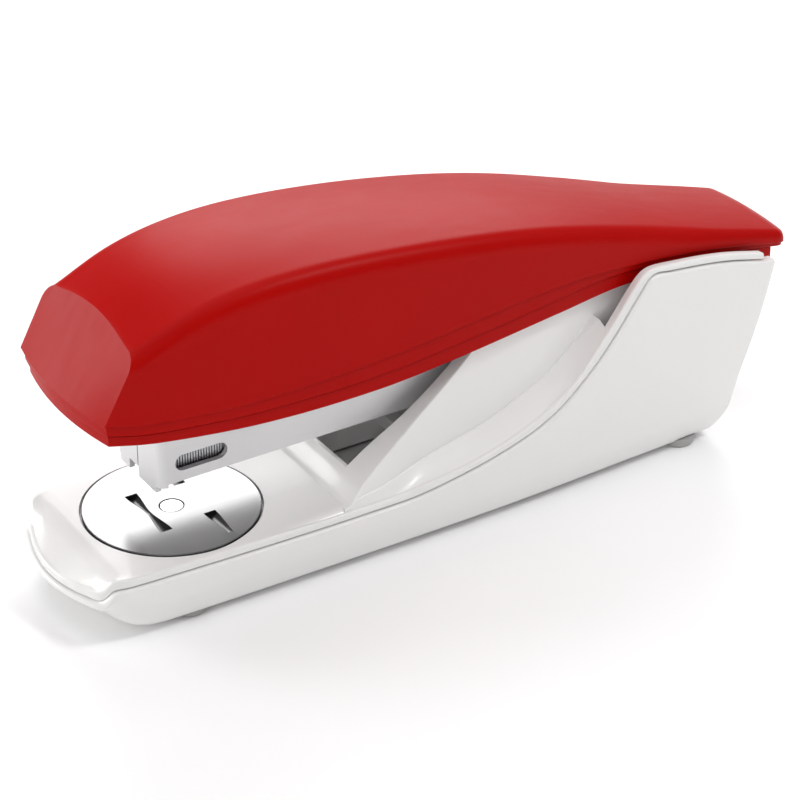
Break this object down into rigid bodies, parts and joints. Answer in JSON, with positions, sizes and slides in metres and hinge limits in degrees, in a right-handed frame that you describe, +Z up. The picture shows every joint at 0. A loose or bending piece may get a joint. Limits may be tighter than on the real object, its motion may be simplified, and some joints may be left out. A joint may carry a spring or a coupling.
{
  "type": "desk stapler",
  "caption": "Desk stapler with a long curved handle, a sprung magazine, a boat-shaped base with raised rear cheeks and a round anvil that lifts and turns.",
  "frame": {"origin": "centre of the bounding box, on the surface that the feet stand on", "axes": "+X runs along the length from the nose to the hinge, +Y across it, +Z up"},
  "size_m": [0.145, 0.0352, 0.0599],
  "materials": {
    "red_plastic": "satin, fine grain",
    "pale_plastic": "satin",
    "plated_steel": "nickel plated sheet",
    "polished_steel": "polished",
    "spring_steel": "drawn wire",
    "foot_rubber": "matte",
    "black_plastic": "moulded"
  },
  "bodies": {
    "base": {"base_shell": "pale_plastic", "base_liner": "pale_plastic", "base_frame": "plated_steel", "hinge_pin": "polished_steel", "pin_clip": "spring_steel", "return_leaf": "spring_steel", "leaf_rivet": "plated_steel", "foot_front_left": "foot_rubber", "foot_front_right": "foot_rubber", "foot_rear_left": "foot_rubber", "foot_rear_right": "foot_rubber", "base_screw_1": "spring_steel", "base_screw_2": "spring_steel", "base_screw_3": "spring_steel", "base_screw_4": "spring_steel", "anvil_spring": "spring_steel"},
    "anvil_lifter": {"anvil_button": "plated_steel"},
    "anvil": {"anvil_disc": "polished_steel"},
    "magazine": {"magazine_channel": "plated_steel", "staple_rail": "plated_steel", "rail_rivet_1": "plated_steel", "rail_rivet_2": "plated_steel", "staple_strip": "polished_steel", "guide_rod": "polished_steel", "spring_bracket": "plated_steel", "handle_spring": "spring_steel", "pusher_spring": "spring_steel"},
    "pusher": {"pusher": "black_plastic"},
    "handle": {"handle_shell": "red_plastic", "handle_skirt": "red_plastic", "handle_frame": "plated_steel", "driver_blade": "spring_steel", "blade_rivet_left": "plated_steel", "blade_rivet_right": "plated_steel", "handle_screw_1": "spring_steel", "handle_screw_2": "spring_steel"}
  },
  "joints": [
    {"name": "magazine_close", "type": "hinge", "parent": "base", "child": "magazine", "pos_m": [0.056, 0, 0.0265], "axis": [0, -1, 0], "range_deg": [-25, 3.4], "stiffness_Nm_per_rad": 1, "springref_deg": -3.15, "deforming": ["return_leaf"]},
    {"name": "handle_press", "type": "hinge", "parent": "magazine", "child": "handle", "pos_m": [0.056, 0, 0.0265], "axis": [0, -1, 0], "range_deg": [-50, 5.1], "stiffness_Nm_per_rad": 1.5, "springref_deg": -0.92, "deforming": ["handle_spring"]},
    {"name": "pusher_slide", "type": "slide", "parent": "magazine", "child": "pusher", "axis": [1, 0, 0], "range_m": [0, 0.032], "stiffness_N_per_m": 60, "springref_m": -0.03, "deforming": ["pusher_spring"]},
    {"name": "anvil_lift", "type": "slide", "parent": "base", "child": "anvil_lifter", "axis": [0, 0, 1], "range_m": [0, 0.0009], "stiffness_N_per_m": 500, "springref_m": -0.002, "deforming": ["anvil_spring"]},
    {"name": "anvil_turn", "type": "hinge", "parent": "anvil_lifter", "child": "anvil", "pos_m": [-0.0485, 0, 0.0122], "axis": [0, 0, 1], "continuous": true}
  ]
}
